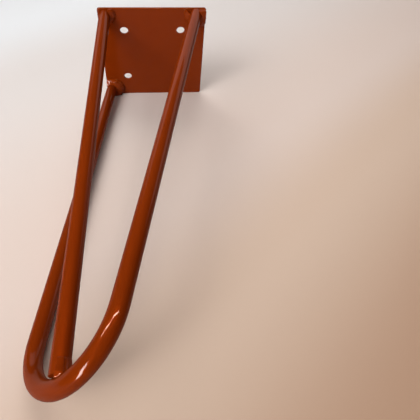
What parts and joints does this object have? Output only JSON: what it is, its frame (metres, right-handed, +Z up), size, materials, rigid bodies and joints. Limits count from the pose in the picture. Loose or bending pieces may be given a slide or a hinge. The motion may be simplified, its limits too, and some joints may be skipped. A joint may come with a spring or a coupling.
{
  "type": "hairpin table leg",
  "caption": "Welded steel hairpin table leg: a square screw-on plate, a rod bent into both limbs and the foot, and a straight brace rod, in red-brown powder coat.",
  "frame": {"origin": "centre of the four screw holes on the plate's top face, which meets the table", "axes": "+Z up as the leg stands in use, X and Y along the plate's sides; the foot is under the +X +Y corner"},
  "size_m": [0.1447, 0.1447, 0.3799],
  "materials": {
    "powder_coat": "semi-gloss"
  },
  "bodies": {
    "root": {"mounting_plate": "powder_coat", "hairpin_rod": "powder_coat", "third_rod": "powder_coat", "first_limb_weld": "powder_coat", "second_limb_weld": "powder_coat", "third_rod_top_weld": "powder_coat", "third_rod_foot_weld": "powder_coat"}
  },
  "joints": []
}
